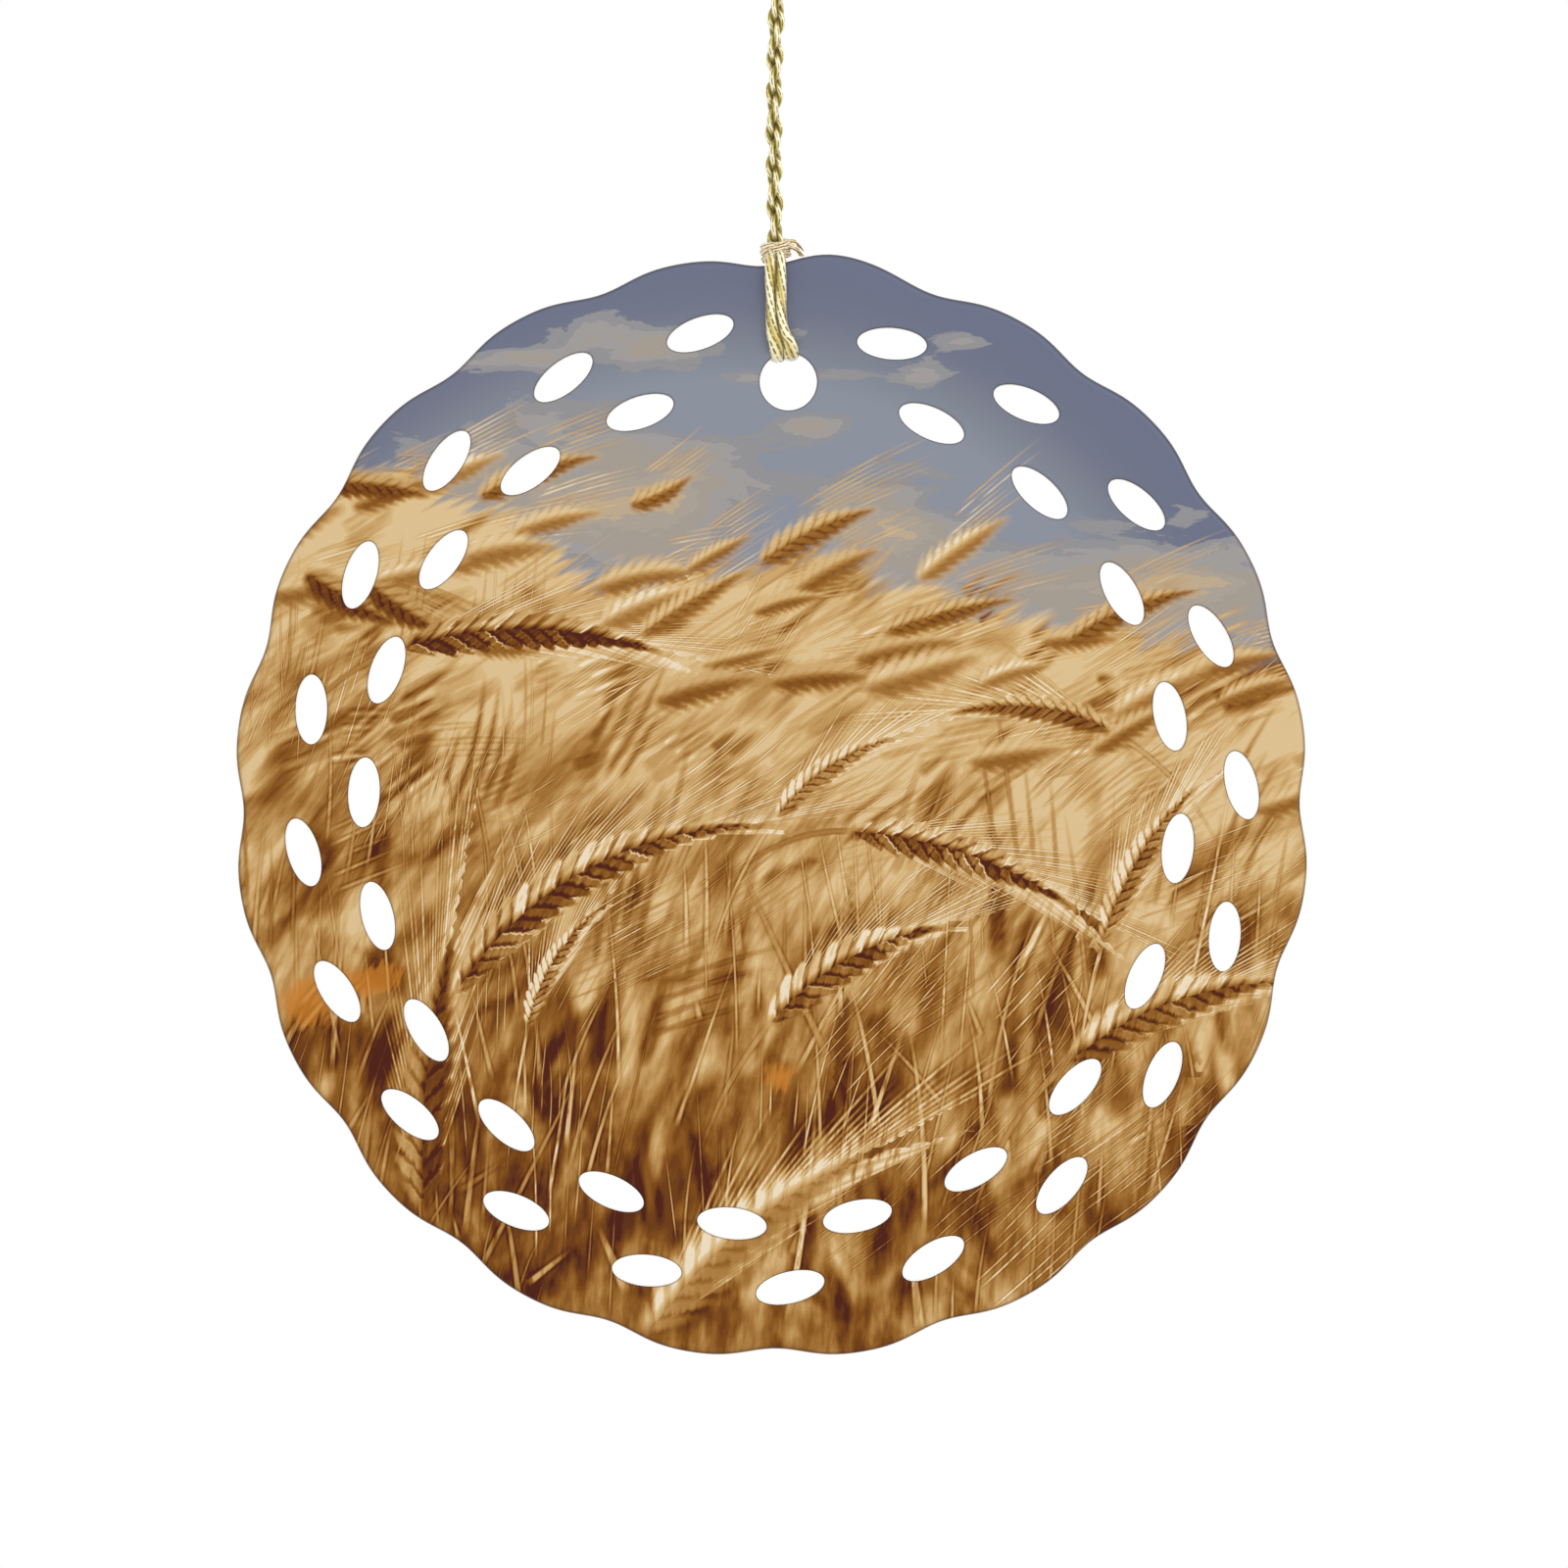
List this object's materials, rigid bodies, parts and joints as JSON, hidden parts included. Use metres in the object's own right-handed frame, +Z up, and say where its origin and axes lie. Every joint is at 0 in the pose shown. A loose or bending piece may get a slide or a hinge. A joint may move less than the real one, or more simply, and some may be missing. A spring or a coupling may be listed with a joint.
{
  "type": "round ceramic ornament",
  "caption": "Flat round hanging ornament of printed glazed ceramic with a scalloped rim, two rings of pierced ovals and a knotted gold cord ending in a loop.",
  "frame": {"origin": "top of the inside of the cord's loop, where a hook carries the ornament", "axes": "+Z up, -Y out of the printed face, +X to the viewer's right when facing the print"},
  "size_m": [0.0722, 0.005, 0.1084],
  "materials": {
    "printed_ceramic": "white glazed ceramic, glossy, with a matt golden field and blue-grey sky printed on the front",
    "gold_cord": "twisted metallic gold yarn"
  },
  "bodies": {
    "root": {"ceramic_disc": "printed_ceramic", "cord_strand_left": "gold_cord", "cord_strand_right": "gold_cord", "cord_knot": "gold_cord", "cord_twisted_pair": "gold_cord", "cord_loop": "gold_cord"}
  },
  "joints": []
}
